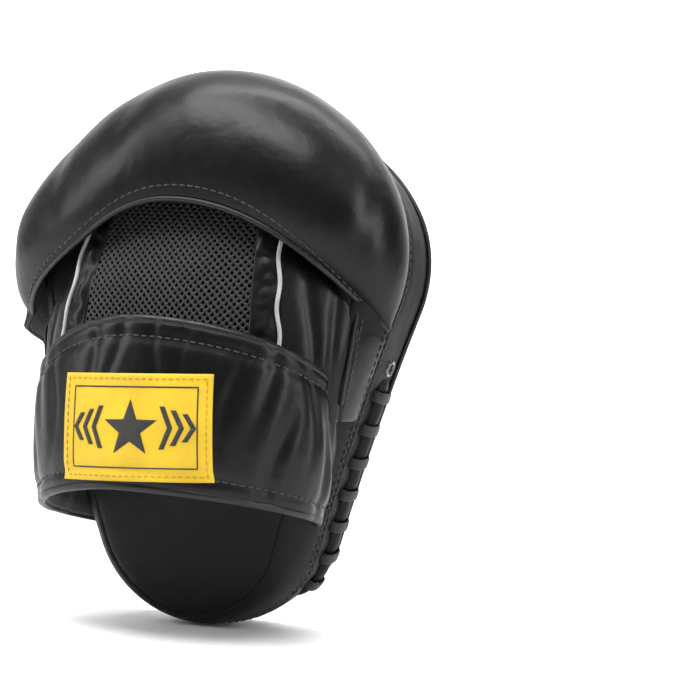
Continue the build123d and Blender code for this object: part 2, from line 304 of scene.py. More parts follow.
def wovenCloth(name, look):
    # Plain weave that follows the piece's own UV map, in metres
    material, nodes, links, shader, coords = startMaterial(name)
    heights = []
    for axis in ("X", "Y"):
        wave = nodes.new("ShaderNodeTexWave")
        wave.bands_direction = axis
        wave.inputs["Scale"].default_value = look["threads"]
        wave.inputs["Distortion"].default_value = 0.6
        wave.inputs["Detail"].default_value = 1.0
        links.new(coords.outputs["UV"], wave.inputs["Vector"])
        heights.append(wave.outputs["Fac"])
    woven = nodes.new("ShaderNodeMath")
    woven.operation = "MULTIPLY"
    links.new(heights[0], woven.inputs[0])
    links.new(heights[1], woven.inputs[1])
    patches = noiseNode(nodes, links, coords.outputs["Object"], 45.0, 5.0)
    both = nodes.new("ShaderNodeMath")
    both.operation = "MULTIPLY_ADD"
    both.inputs[1].default_value = 0.55
    links.new(woven.outputs[0], both.inputs[0])
    links.new(rangeNode(nodes, links, patches, 0.0, 0.5), both.inputs[2])
    links.new(colourNode(nodes, links, both.outputs[0], look["dark"], look["light"]),
              shader.inputs["Base Color"])
    links.new(rangeNode(nodes, links, patches, look["glossy"], look["dull"]), shader.inputs["Roughness"])
    links.new(bumpNode(nodes, links, woven.outputs[0], look["depth"]), shader.inputs["Normal"])
    shader.inputs["Sheen Weight"].default_value = look["sheen"]
    shader.inputs["Sheen Roughness"].default_value = 0.4
    return material


def knitCloth(name, look):
    # Knitted or foamed surface: rounded cells with fuzz, in object space
    material, nodes, links, shader, coords = startMaterial(name)
    cells = nodes.new("ShaderNodeTexVoronoi")
    cells.inputs["Scale"].default_value = look["cells"]
    links.new(coords.outputs["Object"], cells.inputs["Vector"])
    fuzz = noiseNode(nodes, links, coords.outputs["Object"], look["fuzz"], 6.0)
    links.new(colourNode(nodes, links, fuzz, look["dark"], look["light"]), shader.inputs["Base Color"])
    links.new(rangeNode(nodes, links, fuzz, look["glossy"], look["dull"]), shader.inputs["Roughness"])
    under = bumpNode(nodes, links, fuzz, look["depth"] * 0.5)
    links.new(bumpNode(nodes, links, cells.outputs["Distance"], look["depth"], under=under),
              shader.inputs["Normal"])
    shader.inputs["Sheen Weight"].default_value = look["sheen"]
    return material


matteLeather = leather("matteLeather", {
    "dark": (0.0030, 0.0030, 0.0032), "light": (0.0065, 0.0065, 0.0068), "glossy": 0.46, "dull": 0.62,
    "grainScale": 1500.0, "grainDepth": 0.00011, "creaseScale": 60.0, "creaseDepth": 0.0008,
    "patchScale": 22.0, "coat": 0.0, "coatRoughness": 0.3, "specular": 0.15})
glossLeather = leather("glossLeather", {
    "dark": (0.0020, 0.0020, 0.0022), "light": (0.0042, 0.0042, 0.0044), "glossy": 0.30, "dull": 0.44,
    "grainScale": 2100.0, "grainDepth": 0.00004, "creaseScale": 42.0, "creaseDepth": 0.0012,
    "patchScale": 16.0, "coat": 0.04, "coatRoughness": 0.26, "specular": 0.22})
bindingVinyl = leather("bindingVinyl", {
    "dark": (0.004, 0.004, 0.0043), "light": (0.009, 0.009, 0.0094), "glossy": 0.36, "dull": 0.52,
    "grainScale": 2600.0, "grainDepth": 0.00005, "creaseScale": 140.0, "creaseDepth": 0.0005,
    "patchScale": 60.0, "coat": 0.05, "coatRoughness": 0.25, "specular": 0.34})
greyPiping = leather("greyPiping", {
    "dark": (0.30, 0.30, 0.305), "light": (0.52, 0.52, 0.525), "glossy": 0.32, "dull": 0.52,
    "grainScale": 2400.0, "grainDepth": 0.00004, "creaseScale": 170.0, "creaseDepth": 0.0005,
    "patchScale": 90.0, "coat": 0.15, "coatRoughness": 0.25, "specular": 0.5})
blackLace = wovenCloth("blackLace", {
    "dark": (0.006, 0.006, 0.0065), "light": (0.022, 0.022, 0.023), "glossy": 0.5, "dull": 0.7,
    "threads": 420.0, "depth": 0.00022, "sheen": 0.12})
liningCloth = wovenCloth("liningCloth", {
    "dark": (0.008, 0.008, 0.0085), "light": (0.026, 0.026, 0.028), "glossy": 0.6, "dull": 0.8,
    "threads": 330.0, "depth": 0.00025, "sheen": 0.2})
labelCloth = wovenCloth("labelCloth", {
    "dark": (0.60, 0.37, 0.003), "light": (0.86, 0.60, 0.008), "glossy": 0.42, "dull": 0.62,
    "threads": 520.0, "depth": 0.00012, "sheen": 0.06})
labelInk = wovenCloth("labelInk", {
    "dark": (0.006, 0.006, 0.006), "light": (0.03, 0.028, 0.02), "glossy": 0.45, "dull": 0.65,
    "threads": 520.0, "depth": 0.00012, "sheen": 0.05})
meshKnit = knitCloth("meshKnit", {
    "dark": (0.0026, 0.0026, 0.0028), "light": (0.0075, 0.0075, 0.0078), "glossy": 0.5, "dull": 0.75,
    "cells": 1900.0, "fuzz": 420.0, "depth": 0.00012, "sheen": 0.1})
# Back layer of the spacer mesh, a real sheet; it is coloured darker than the knit as painted shade inside
# the mesh holes
meshBackingPaintedShade = knitCloth("meshBackingPaintedShade", {
    "dark": (0.0012, 0.0012, 0.0013), "light": (0.004, 0.004, 0.0042), "glossy": 0.75, "dull": 0.95,
    "cells": 1300.0, "fuzz": 300.0, "depth": 0.0002, "sheen": 0.0})
foamLook = knitCloth("foamLook", {
    "dark": (0.10, 0.10, 0.105), "light": (0.2, 0.2, 0.21), "glossy": 0.8, "dull": 0.95,
    "cells": 1500.0, "fuzz": 200.0, "depth": 0.0003, "sheen": 0.0})
blackThread = wovenCloth("blackThread", {
    "dark": (0.012, 0.012, 0.0125), "light": (0.05, 0.05, 0.052), "glossy": 0.4, "dull": 0.6,
    "threads": 900.0, "depth": 0.00008, "sheen": 0.1})
goldThread = wovenCloth("goldThread", {
    "dark": (0.42, 0.22, 0.002), "light": (0.70, 0.42, 0.01), "glossy": 0.4, "dull": 0.6,
    "threads": 900.0, "depth": 0.00008, "sheen": 0.05})
whitePrint = leather("whitePrint", {
    "dark": (0.62, 0.62, 0.62), "light": (0.82, 0.82, 0.82), "glossy": 0.38, "dull": 0.55,
    "grainScale": 1500.0, "grainDepth": 0.00008, "creaseScale": 60.0, "creaseDepth": 0.0004,
    "patchScale": 70.0, "coat": 0.0, "coatRoughness": 0.3, "specular": 0.4})
eyeletPaint = leather("eyeletPaint", {
    "dark": (0.02, 0.02, 0.022), "light": (0.05, 0.05, 0.055), "glossy": 0.18, "dull": 0.34,
    "grainScale": 3000.0, "grainDepth": 0.00002, "creaseScale": 300.0, "creaseDepth": 0.0002,
    "patchScale": 300.0, "coat": 0.6, "coatRoughness": 0.12, "specular": 0.6})
print("materials made")


# pad outline

def outlineParts():
    tip = pad["tip"] + pad["tipRadius"]
    reach = pad["crownRadius"] - pad["shoulderRadius"]
    drop = math.sqrt(reach ** 2 - pad["spread"] ** 2)
    shoulder = pad["top"] - pad["crownRadius"] + drop
    run = math.hypot(pad["spread"], shoulder - tip)
    flank = math.atan2(shoulder - tip, pad["spread"])
    flank -= math.acos((pad["tipRadius"] - pad["shoulderRadius"]) / run)
    join = math.atan2(drop, pad["spread"])
    straight = math.sqrt(run ** 2 - (pad["tipRadius"] - pad["shoulderRadius"]) ** 2)
    return tip, shoulder, drop, flank, join, straight


tipZ, shoulderZ, crownDrop, flankTurn, joinTurn, flankRun = outlineParts()
tipArc = pad["tipRadius"] * (flankTurn + math.pi / 2)
shoulderArc = pad["shoulderRadius"] * (joinTurn - flankTurn)
crownArc = pad["crownRadius"] * (math.pi / 2 - joinTurn)
halfRun = tipArc + flankRun + shoulderArc + crownArc


def outlineAt(s):
    # Point and outward direction on the outline; s is 0 at the tip, 0.5 at the crown, 1 back at
    # the tip
    s = s % 1.0
    side = 1 if s <= 0.5 else -1
    run = 2 * halfRun * (s if s <= 0.5 else 1 - s)
    if run < tipArc:
        turn = run / pad["tipRadius"] - math.pi / 2
        centre, radius = (0.0, tipZ), pad["tipRadius"]
    elif run < tipArc + flankRun:
        along = run - tipArc
        x = pad["tipRadius"] * math.cos(flankTurn) - along * math.sin(flankTurn)
        z = tipZ + pad["tipRadius"] * math.sin(flankTurn) + along * math.cos(flankTurn)
        return side * x, z, side * math.cos(flankTurn), math.sin(flankTurn)
    elif run < tipArc + flankRun + shoulderArc:
        turn = flankTurn + (run - tipArc - flankRun) / pad["shoulderRadius"]
        centre, radius = (pad["spread"], shoulderZ), pad["shoulderRadius"]
    else:
        turn = joinTurn + (run - tipArc - flankRun - shoulderArc) / pad["crownRadius"]
        centre, radius = (0.0, shoulderZ - crownDrop), pad["crownRadius"]
    x, z = centre[0] + radius * math.cos(turn), centre[1] + radius * math.sin(turn)
    return side * x, z, side * math.cos(turn), math.sin(turn)


def bent(x, z, depth):
    tilt = math.atan((z - pad["bendHeight"]) / pad["bendRadius"])
    reach = pad["bendRadius"] + depth
    return place(x, pad["bendRadius"] - reach * math.cos(tilt), pad["bendHeight"] + reach
                 * math.sin(tilt))


def padPoint(s, depth, grow=0.0, share=1.0):
    # Point of the pad: around the outline, at a depth, grown outwards, drawn to the middle by
    # share
    x, z, nx, nz = outlineAt(s)
    x, z = (x + grow * nx) * share, pad["middle"] + (z + grow * nz - pad["middle"]) * share
    return bent(x, z, depth)


def padNormal(s, depth):
    return (padPoint(s, depth, 0.004) - padPoint(s, depth, 0.0)).normalized()


def outlineAtHeight(height):
    # The right flank's s at this height of the flat outline
    low, high = 0.0, 0.5
    for _ in range(40):
        middle = (low + high) / 2
        if outlineAt(middle)[1] < height:
            low = middle
        else:
            high = middle
    return low


lacing = {"top": 0.120, "pitch": 0.0175, "count": 7, "depth": -0.014, "flapHalf": 0.0052,
          "flapHigh": 0.0037, "flapLow": 0.013, "flapTop": 0.129, "eyelet": 0.134, "laceWide": 0.0056,
          "laceThick": 0.0012}
laceStart = outlineAtHeight(lacing["top"])
laceStations = [laceStart - i * lacing["pitch"] / (2 * halfRun) for i in range(lacing["count"])]


def lacePull(s, reach):
    # How strongly the nearest turn of lace pulls at s, from 0 to 1
    s = s if s <= 0.5 else 1 - s
    return max(bell((s - station) * 2 * halfRun, reach) for station in laceStations)


def pucker(s, amount, pitch=0.0085):
    return amount * math.sin(2 * math.pi * s * 2 * halfRun / pitch + 2.0 * math.sin(s * 40))


# striking face, side band, rear of the pad

columns = 384
face = {"puff": 0.0011, "rings": 34, "edge": -0.0264}
inPad = place(0, 0.0, 0.13)


def faceDepth(share):
    return face["edge"] - face["puff"] * (1 - share ** 4)


def makeFace():
    rows = []
    for grow, depth in ((0.0004, -0.0236), (0.0003, -0.0245), (-0.0004, -0.0254), (-0.0016, -0.0261),
                        (-0.003, -0.02635)):
        rows.append([padPoint(j / columns, depth, grow + pucker(j / columns, 0.00008))
                     for j in range(columns)])
    for i in range(face["rings"]):
        share = 1 - i / face["rings"]
        row = []
        for j in range(columns):
            point = padPoint(j / columns, faceDepth(share), -0.0046, share)
            row.append(point + Vector((0, 0.00035 * ripple(point, 0.03, 1.0), 0)))
        rows.append(row)
    return thicken(gridPiece("strikeFace", rows, matteLeather, inPad, closedU=True,
                             fan=True), 0.0014)


def faceRun(grow, lift=0.0001):
    points = [padPoint(j / 300, face["edge"] - lift, grow) for j in range(301)]
    return points, [Vector((0, 1, 0))] * len(points)


def makeBand():
    rows = []
    steps = 22
    for i in range(steps + 1):
        t = i / steps
        depth = mix(-0.0234, 0.0021, t)
        row = []
        for j in range(columns):
            s = j / columns
            edge = 1 - (2 * t - 1) ** 4
            grow = 0.0011 * edge - 0.0002 + pucker(s, 0.00018) * (1 - edge)
            grow -= 0.0016 * lacePull(s, 0.0045) * bell(depth - lacing["depth"], 0.009)
            point = padPoint(s, depth, grow)
            row.append(point + padNormal(s, depth) * (0.00035 * ripple(point, 0.016, 3.0) * edge))
        rows.append(row)
    return thicken(gridPiece("sideBand", rows, matteLeather, inPad, closedU=True),
                   0.0013)


def bandRun(depth, grow, samples=420):
    points = [padPoint(j / samples, depth, rearGrow(j / samples, depth, grow)[0])
              for j in range(samples + 1)]
    return points, [padNormal(j / samples, depth) for j in range(samples + 1)]


rearProfile = ((0.0019, -0.0004), (0.0026, 0.0001), (0.0048, 0.0004), (0.0085, -0.0004), (0.013, -0.0021),
               (0.0175, -0.0043), (0.0215, -0.0070), (0.0243, -0.0098), (0.0254, -0.0118),
               (0.0250, -0.0132))
backEdge = (0.0250, -0.0134)
standing = {"slope": 0.34, "start": 0.45, "full": 0.35}


def rearGrow(s, depth, grow):
    # The gusset is pressed flatter under the tip, where the mitt stands on it
    under = smooth((-outlineAt(s)[3] - standing["start"]) / standing["full"])
    pressed = min(grow, -standing["slope"] * max(0.0, depth - 0.002) - 0.0002)
    return mix(grow, pressed, under), 1 - under


def makeGusset():
    rows = []
    for i, (depth, grow) in enumerate(rearProfile):
        row = []
        for j in range(columns):
            s = j / columns
            edge = math.sin(math.pi * i / (len(rearProfile) - 1))
            pressed, free = rearGrow(s, depth, grow)
            point = padPoint(s, depth, pressed + pucker(s, 0.00022) * (1 - edge) * free)
            row.append(point + padNormal(s, depth) * (0.0006 * edge * free * ripple(point, 0.02, 5.0)))
        rows.append(row)
    piece = gridPiece("rearGusset", rows, matteLeather, inPad, closedU=True)
    rounded = piece.modifiers.new("rounded", "SUBSURF")
    rounded.levels = 1
    rounded.render_levels = 1
    return thicken(piece, 0.0013)


def makeBack():
    rows = []
    for depth, grow in ((0.0246, backEdge[1] + 0.0006), (0.0252, backEdge[1]), (0.0260, -0.0146),
                        (0.0265, -0.0165)):
        rows.append([padPoint(j / columns, depth, grow) for j in range(columns)])
    rings = 26
    for i in range(rings):
        share = 1 - i / rings
        depth = 0.0267 + 0.0012 * (1 - share ** 3)
        row = []
        for j in range(columns):
            point = padPoint(j / columns, depth, -0.019, share)
            row.append(point + Vector((0, 0.0007 * ripple(point, 0.028, 8.0), 0)))
        rows.append(row)
    return thicken(gridPiece("backPanel", rows, matteLeather, inPad, closedU=True,
                             fan=True), 0.0013)


def padSlab(name, front, rear, growFront, growRear, nodeName, material):
    # Closed layer of foam inside the pad
    count = 128
    rows = []
    for depth, grow, share in ((front, growFront, 0.05), (front, growFront, 0.55), (front, growFront
            - 0.002, 1.0),
                               (front + 0.001, growFront, 1.0), (rear - 0.001, growRear, 1.0),
                               (rear, growRear - 0.002, 1.0), (rear, growRear, 0.55), (rear, growRear,
                                       0.05)):
        rows.append([padPoint(j / count, depth, grow, share) for j in range(count)])
    piece = gridPiece(name, rows, material, closedU=True, capEnds=True)
    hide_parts(nodeName)
    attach(piece, "mitt")
    return piece


strikeFace = makeFace()
sideBand = makeBand()
rearGusset = makeGusset()
backPanel = makeBack()
for piece, node in ((strikeFace, "strike_face"), (sideBand, "side_band"), (rearGusset, "rear_gusset"),
                    (backPanel, "back_panel")):
    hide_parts(node)
    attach(piece, "mitt")
padSlab("impactFoamFront", -0.0236, -0.0052, -0.0078, -0.0078, "impact_foam_front", foamLook)
padSlab("impactFoamCore", -0.0048, 0.0048, -0.0034, -0.0040, "impact_foam_core", foamLook)
padSlab("impactFoamRear", 0.0052, 0.0228, -0.0050, -0.0132, "impact_foam_rear", foamLook)

points, normals = bandRun(-0.0240, 0.0007)
faceWelt = tube("faceWelt", points[:-1], normals[:-1], 0.0013, 0.0012, bindingVinyl, "binding",
                closed=True)
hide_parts("face_welt")
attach(faceWelt, "mitt")
padThread = stitches("padStitches", [faceRun(-0.0052), bandRun(-0.0003, 0.0004), bandRun(0.0046,
        0.00055)],
                     blackThread)
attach(padThread, "mitt")
print("pad made")


# lacing

def flank(s, side):
    return s if side > 0 else 1 - s


def makeFlap(side, name, node):
    low, high = outlineAtHeight(lacing["flapLow"]), outlineAtHeight(lacing["flapTop"])
    rows = []
    for i in range(19):
        turn = math.pi * (i / 18 - 0.5) * 1.12
        row = []
        for j in range(221):
            t = j / 220
            s = mix(low, high, t)
            ends = math.sqrt(min(1.0, 12 * t, 12 * (1 - t)))
            pull = lacePull(s, 0.0036)
            half = lacing["flapHalf"] * (1 - 0.10 * pull)
            high3 = lacing["flapHigh"] * (1 - 0.26 * pull) * ends
            depth = lacing["depth"] + half * math.sin(turn)
            grow = 0.0004 + high3 * math.cos(turn)
            point = padPoint(flank(s, side), depth, grow)
            row.append(point + padNormal(flank(s, side), depth) * (0.0003 * ripple(point, 0.006, 2.0)))
        rows.append(row)
    piece = gridPiece(name, rows, matteLeather, inPad)
    thicken(piece, 0.0011)
    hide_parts(node)
    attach(piece, "mitt")


laceTurn = ((0.0058, -0.0040), (0.0062, -0.0022), (0.0066, -0.0004), (0.0067, 0.0012), (0.0062, 0.0028),
            (0.0048, 0.0041),
            (0.0025, 0.0048), (0.0, 0.0050), (-0.0025, 0.0048), (-0.0048, 0.0041), (-0.0062, 0.0028),
            (-0.0067, 0.0012),
            (-0.0066, -0.0004), (-0.0062, -0.0022), (-0.0058, -0.0040))


def lacePath(side):
    # The whole lace: over the flap at each station, and from the rear hole to the next front
    # hole inside
    path = []
    for number, station in enumerate(laceStations):
        lean = 0.0012 * math.sin(number * 2.1 + 0.6)
        for k, (across, high3) in enumerate(laceTurn):
            t = k / (len(laceTurn) - 1)
            s = station + (lean * (0.5 - t)) / (2 * halfRun)
            path.append((s, lacing["depth"] + across, high3))
        if number + 1 < len(laceStations):
            for t in (0.3, 0.7):
                s = mix(station, laceStations[number + 1], t)
                path.append((s, lacing["depth"] - 0.0058 + 0.0116 * t, -0.0046))
    points = [padPoint(flank(s, side), depth, grow) for s, depth, grow in path]
    across = []
    for s, depth, grow in path:
        ahead = padPoint(flank(s + 0.002, side), depth, grow) - padPoint(flank(s - 0.002, side), depth,
                                                                         grow)
        across.append(ahead.normalized())
    return points, across


def ribbon(name, points, across, width, thickness, material):
    # Flat woven strip with rounded edges; its broad side stays along the given directions
    rows = []
    count = len(points)
    section = []
    for k in range(14):
        turn = 2 * math.pi * k / 14
        broad = math.copysign(abs(math.cos(turn)) ** 0.55, math.cos(turn))
        thin = math.copysign(abs(math.sin(turn)) ** 0.8, math.sin(turn))
        section.append((broad * width / 2, thin * thickness / 2))
    for i, point in enumerate(points):
        along = (points[min(count - 1, i + 1)] - points[max(0, i - 1)]).normalized()
        side = (across[i] - along * across[i].dot(along)).normalized()
        up = side.cross(along)
        rows.append([point + side * a + up * b for a, b in section])
    return gridPiece(name, rows, material, closedU=True, capEnds=True)


def makeEyelets():
    verts, faces = [], []
    s = outlineAtHeight(lacing["eyelet"])
    for side in (1, -1):
        centre = padPoint(flank(s, side), lacing["depth"], 0.0008)
        up = padNormal(flank(s, side), lacing["depth"])
        a = (padPoint(flank(s + 0.002, side), lacing["depth"]) - padPoint(flank(s - 0.002, side),
                lacing["depth"])).normalized()
        b = up.cross(a)
        start = len(verts)
        ringCount, profile = 40, ((0.0042, -0.0010), (0.0044, 0.0002), (0.0038, 0.0009),
                                  (0.0030, 0.0011), (0.0024, 0.0006), (0.0022, -0.0012))
        for k in range(ringCount):
            turn = 2 * math.pi * k / ringCount
            for radius, lift in profile:
                verts.append(centre + (a * math.cos(turn) + b * math.sin(turn)) * radius + up * lift)
        size = len(profile)
        for k in range(ringCount):
            for m in range(size):
                p, q = start + k * size + m, start + k * size + (m + 1) % size
                p2, q2 = start + ((k + 1) % ringCount) * size + m, start + ((k
                        + 1) % ringCount) * size + (m + 1) % size
                faces.append((p, q, q2, p2))
    piece = addPiece("laceEyelets", verts, faces, eyeletPaint)
    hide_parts("lace_eyelets")
    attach(piece, "mitt")


for side, word in ((-1, "left"), (1, "right")):
    makeFlap(side, "laceFlap" + word.title(), "lace_flap_" + word)
    points, across = lacePath(side)
    lace = ribbon("lace" + word.title(), points, across, lacing["laceWide"], lacing["laceThick"],
                  blackLace)
    fine = lace.modifiers.new("rounded", "SUBSURF")
    fine.levels = 1
    fine.render_levels = 1
    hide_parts("lace_" + word)
    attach(lace, "mitt")
makeEyelets()
print("lacing made")


# hood

hood = {"height": 0.172, "radius": 0.101, "centreY": -0.012, "bulge": 0.046, "hemRadius": 0.1044,
        "hemCentre": 0.1036,
        "corner": 0.152, "leftOut": 0.0150, "leftDrop": 0.0185, "seamOut": 0.30, "seamBack": 0.37,
        "hemOut": 0.48, "hemBack": 0.11, "thick": 0.0085}
hoodCorner = outlineAtHeight(hood["corner"])
hoodCornerLeft = outlineAtHeight(hood["corner"] - hood["leftDrop"])
hemTurn = math.asin((hood["corner"] - hood["hemCentre"]) / hood["hemRadius"])
hoodFolds = ((0.60, 0.50, 0.030, 0.0012), (0.70, 0.62, 0.024, 0.0012), (0.80, 0.62, 0.028, 0.0013),
             (0.89, 0.6, 0.022, 0.0012),
             (0.30, 0.55, 0.03, 0.0009), (0.17, 0.65, 0.026, 0.0011), (0.48, 0.7, 0.05, 0.0009))


def leftFullness(a):
    # The left side of the hood stands further out; nothing at the seam itself
    return smooth((a - 0.70) / 0.20) * (1 - smooth((a - 0.95) / 0.05))


def hemPoint(a):
    turn = mix(hemTurn, math.pi - hemTurn, a)
    x, z = hood["hemRadius"] * math.cos(turn), hood["hemCentre"] + hood["hemRadius"] * math.sin(turn)
    full = leftFullness(a)
    x -= hood["leftOut"] * full
    z -= hood["leftDrop"] * smooth((a - 0.52) / 0.46)
    radius = math.hypot(x, z - hood["height"])
    dome = hood["centreY"] - hood["bulge"] * math.sqrt(max(0.02, 1 - (radius / hood["radius"]) ** 2))
    rise = 1 - abs(2 * a - 1) ** 5
    return place(x, mix(-0.003, dome, rise), z)


def hoodPoint(a, b, inset=0.0):
    # Point of the hood: a from the right corner to the left, b from the rear seam to the hem
    seam = padPoint(mix(hoodCorner, 1 - hoodCornerLeft, a), pad["seam"], -0.0002 - inset)
    hem = hemPoint(a)
    centre = place(0, 0, hood["height"])
    radial = Vector((seam.x, 0, seam.z - centre.z)).normalized()
    hemRadial = Vector((hem.x, 0, hem.z - centre.z))
    hemRadial = (hemRadial.normalized() + radial).normalized()
    span = (hem - seam).length
    back = Vector((0, -1, 0))
    full = 1 + 0.20 * bell(a - 0.42, 0.2) - 0.30 * bell(a - 0.70, 0.14)
    first = seam + radial * (hood["seamOut"] * full * span) + back * (hood["seamBack"] * span)
    second = hem + hemRadial * (hood["hemOut"] * full * span) + back * (hood["hemBack"] * span)
    first.x -= 0.5 * hood["leftOut"] * leftFullness(a)
    u = 1 - b
    point = seam * u ** 3 + first * (3 * u * u * b) + second * (3 * u * b * b) + hem * b ** 3
    puff = math.sin(math.pi * min(1.0, max(0.0, b))) ** 0.7
    inward = (centre + Vector((0, -0.01, 0)) - point).normalized()
    fold = 0.0
    for where, middle, width, depth in hoodFolds:
        shifted = a - where - 0.05 * math.sin(3.0 * b + 7 * where)
        fold += depth * bell(shifted, width) * bell(b - middle, 0.3)
    lump = 0.0010 * ripple(point, 0.055, 4.0) + 0.0004 * ripple(point, 0.02, 9.0)
    return point + inward * (puff * (fold + lump + inset))


def makeHoodSheet(name, inset, material, wide=176, tall=56):
    rows = []
    for i in range(tall + 1):
        b = i / tall
        rows.append([hoodPoint(j / wide, b, inset) for j in range(wide + 1)])
    return gridPiece(name, rows, material, place(0, 0.0, 0.185))


hoodShell = thicken(makeHoodSheet("hoodShell", 0.0, glossLeather), 0.0012)
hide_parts("hood_shell", "hood_padding")
hoodLining = thicken(makeHoodSheet("hoodLining", hood["thick"], liningCloth, 120, 32), 0.0009)
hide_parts("hood_lining")
hemPoints = [hemPoint(j / 200) for j in range(201)]
hemNormals = [(hemPoint(j / 200) - hoodPoint(j / 200, 0.94)).normalized() for j in range(201)]
hoodBinding = tube("hoodBinding", hemPoints, hemNormals, 0.0017, 0.0015, bindingVinyl, "binding")
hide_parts("hood_binding")


def hoodRun(b, lift=0.0002, samples=240, start=0.02, end=0.98):
    points, normals = [], []
    for j in range(samples + 1):
        a = mix(start, end, j / samples)
        here = hoodPoint(a, b)
        up = (hoodPoint(a + 0.004, b) - here).cross(hoodPoint(a, b + 0.01) - here).normalized()
        if up.dot(here - place(0, 0, 0.18)) < 0:
            up = -up
        points.append(here + up * lift)
        normals.append(up)
    return points, normals


hoodThread = stitches("hoodStitches", [hoodRun(0.955)], blackThread)
hoodPieces = [hoodShell, hoodLining, hoodBinding, hoodThread]
for piece in hoodPieces:
    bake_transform(piece)
print("hood made")


# cuff

cuff = {"halfLow": 0.0715, "halfHigh": 0.0795, "low": 0.046, "high": 0.151, "centreY": -0.028,
        "deep": 0.057,
        "top": 0.151, "topEnd": 0.114, "bottom": 0.0735, "bottomEnd": 0.057, "leftDrop": 0.017,
        "lean": 0.085, "leanHeight": 0.110, "endLow": 127.0, "endHigh": 113.0,
        "edge": -0.0022, "puff": 0.0040, "thick": 0.0075, "edgeThick": 0.0022}
cuffFolds = ((0.10, 0.020, 0.0010, 0.86), (0.19, 0.022, 0.0012, 0.84), (0.34, 0.024, 0.0013, 0.6),
             (0.50, 0.035, 0.0024, 0.35), (0.60, 0.03, 0.0018, 0.7), (0.71, 0.035, 0.0030, 0.4),
             (0.82, 0.03, 0.0026, 0.6),
             (0.91, 0.03, 0.0022, 0.4), (0.42, 0.03, 0.0012, 0.8))


def cuffEnd(v):
    return math.radians(mix(cuff["endLow"], cuff["endHigh"], v))


def cuffHeights(turn):
    share = (1 - math.cos(turn)) / (1 - math.cos(math.radians(120)))
    drop = cuff["leftDrop"] * smooth(-turn / 1.5)
    return mix(cuff["bottom"], cuff["bottomEnd"], share) - 0.45 * drop, mix(cuff["top"], cuff["topEnd"],
            share) - drop


def cuffOut(u, v):
    # How far the leather stands out of the cuff's oval: puffed in the middle, sunk at the hem
    # stitching
    hem = bell(v - 0.10, 0.035) + bell(v - 0.90, 0.035)
    out = cuff["edge"] + cuff["puff"] * max(0.0, math.sin(math.pi
                                                          * min(1.0, max(0.0, v)))) ** 0.6 - 0.0010 * hem
    for where, width, depth, middle in cuffFolds:
        for side in (-1, 1):
            shifted = u - side * where - side * 0.05 * math.sin(4 * v + 9 * where)
            out -= depth * bell(shifted, width) * bell(v - middle, 0.34) * (0.8 if side < 0 else 1.0)
    return out


def cuffPoint(u, v, extra=0.0):
    # Point of the cuff: u from the left end, -1, to the right end, 1; v from the bottom edge to
    # the top
    turn = u * cuffEnd(v)
    low, high = cuffHeights(turn)
    z = mix(low, high, v)
    ends = smooth((abs(u) - 0.86) / 0.14)
    out = cuffOut(u, v) * (1 - ends) + extra * (1 - 0.6 * ends) - 0.0030 * ends
    half = mix(cuff["halfLow"], cuff["halfHigh"], (z - cuff["low"]) / (cuff["high"] - cuff["low"]))
    flare = cuff["lean"] * (z - cuff["leanHeight"]) * max(0.0, math.cos(turn))
    point = place((half + out) * math.sin(turn), cuff["centreY"] + flare - (cuff["deep"] + out)
                  * math.cos(turn), z)
    lump = 0.0010 * ripple(point, 0.035, 6.0) * math.sin(math.pi
                                                         * min(1.0, max(0.0, v))) * smooth((abs(u)
                                                                 - 0.3) / 0.15)
    return point + Vector((math.sin(turn), -math.cos(turn), 0)) * lump


def cuffSheet(name, extra, material, wide=260, tall=44):
    rows = []
    for i in range(tall + 1):
        v = i / tall
        rows.append([cuffPoint(2 * j / wide - 1, v, extra(v)) for j in range(wide + 1)])
    return gridPiece(name, rows, material, place(0, cuff["centreY"], 0.11))


def liningDrop(v):
    return -cuff["edgeThick"] - cuff["thick"] * math.sin(math.pi * v) ** 0.5


cuffShell = thicken(cuffSheet("cuffShell", lambda v: 0.0, glossLeather), 0.0012)
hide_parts("cuff_shell", "cuff_padding")
cuffLining = thicken(cuffSheet("cuffLining", liningDrop, liningCloth, 180, 28), 0.0009)
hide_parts("cuff_lining")


def cuffEdge(v, samples=260):
    points, normals = [], []
    for j in range(samples + 1):
        u = 2 * j / samples - 1
        here = (cuffPoint(u, v) + cuffPoint(u, v, -cuff["edgeThick"])) / 2
        points.append(here)
        normals.append((here - cuffPoint(u, 0.5, -0.004)).normalized())
    return points, normals


def cuffRun(v, start=-0.97, end=0.97, lift=0.00015, samples=300):
    points, normals = [], []
    for j in range(samples + 1):
        u = mix(start, end, j / samples)
        turn = u * cuffEnd(v)
        up = Vector((math.sin(turn), -math.cos(turn), 0))
        points.append(cuffPoint(u, v) + up * lift)
        normals.append(up)
    return points, normals


cuffTop = tube("cuffBindingTop", *cuffEdge(1.0), 0.0021, 0.0021, bindingVinyl, "binding")
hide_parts("cuff_binding_top")
cuffBottom = tube("cuffBindingBottom", *cuffEdge(0.0), 0.0021, 0.0021, bindingVinyl, "binding")
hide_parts("cuff_binding_bottom")
cuffThread = stitches("cuffStitches", [cuffRun(0.90), cuffRun(0.10)], blackThread)


# label on the cuff

label = {"half": 0.0372, "halfHigh": 0.0248, "centre": labelHeight - 0.002, "tilt": 0.055,
         "shift": 0.003, "lift": 0.0007, "thick": 0.0009, "border": 0.0024,
         "frame": 0.0062, "frameWide": 0.0007}


